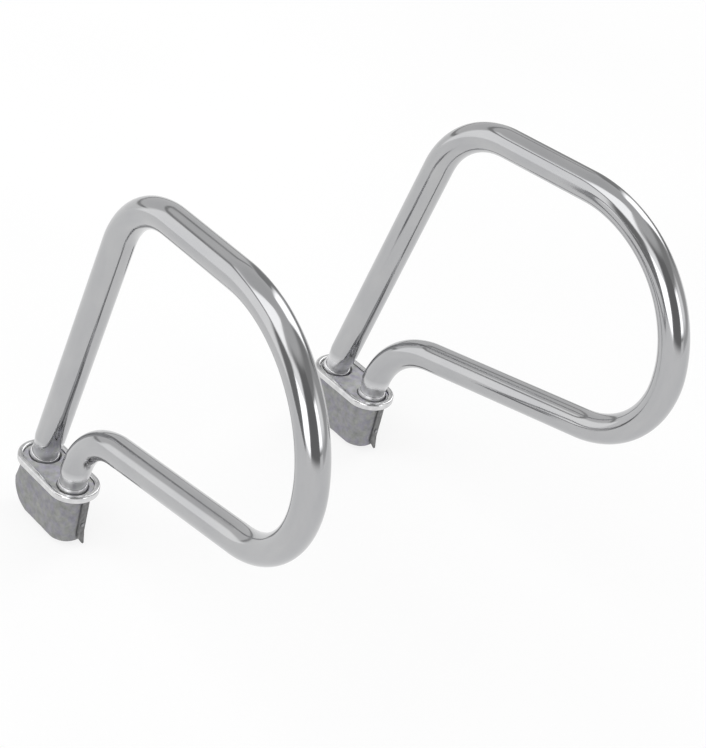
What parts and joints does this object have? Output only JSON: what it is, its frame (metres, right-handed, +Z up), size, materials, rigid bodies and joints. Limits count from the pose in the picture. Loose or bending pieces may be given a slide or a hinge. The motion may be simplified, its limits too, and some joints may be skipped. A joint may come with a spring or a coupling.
{
  "type": "ladder stabilizer",
  "caption": "Pair of polished bent-tube stand-off loops with oblong cast plug feet that seat in the ends of a ladder's stiles.",
  "frame": {"origin": "midway between the two feet, in the plane of the rims' undersides, where they rest on the ends of the stiles", "axes": "+Z up along the stiles, +X from the climber towards the wall that the noses rest on, +Y to the climber's left"},
  "size_m": [0.3784, 0.3814, 0.3685],
  "materials": {
    "polished_tube": "polished",
    "polished_rim": "polished",
    "cast_foot": "as cast",
    "collar": "satin",
    "hardware": "plain",
    "spring_strip": "plain"
  },
  "bodies": {
    "right_unit": {"right_loop_tube": "polished_tube", "right_foot_casting": "cast_foot", "right_rim_band": "polished_rim", "right_collar_long": "collar", "right_collar_short": "collar", "right_insert_long": "hardware", "right_insert_short": "hardware", "right_set_screw_long": "hardware", "right_set_screw_short": "hardware", "right_retaining_strip": "spring_strip", "right_strip_rivet": "hardware"},
    "left_unit": {"left_loop_tube": "polished_tube", "left_foot_casting": "cast_foot", "left_rim_band": "polished_rim", "left_collar_long": "collar", "left_collar_short": "collar", "left_insert_long": "hardware", "left_insert_short": "hardware", "left_set_screw_long": "hardware", "left_set_screw_short": "hardware", "left_retaining_strip": "spring_strip", "left_strip_rivet": "hardware"}
  },
  "joints": [
    {"name": "pair_spacing", "type": "slide", "parent": "right_unit", "child": "left_unit", "axis": [0, 1, 0], "range_m": [-0.02, 0.187]}
  ]
}
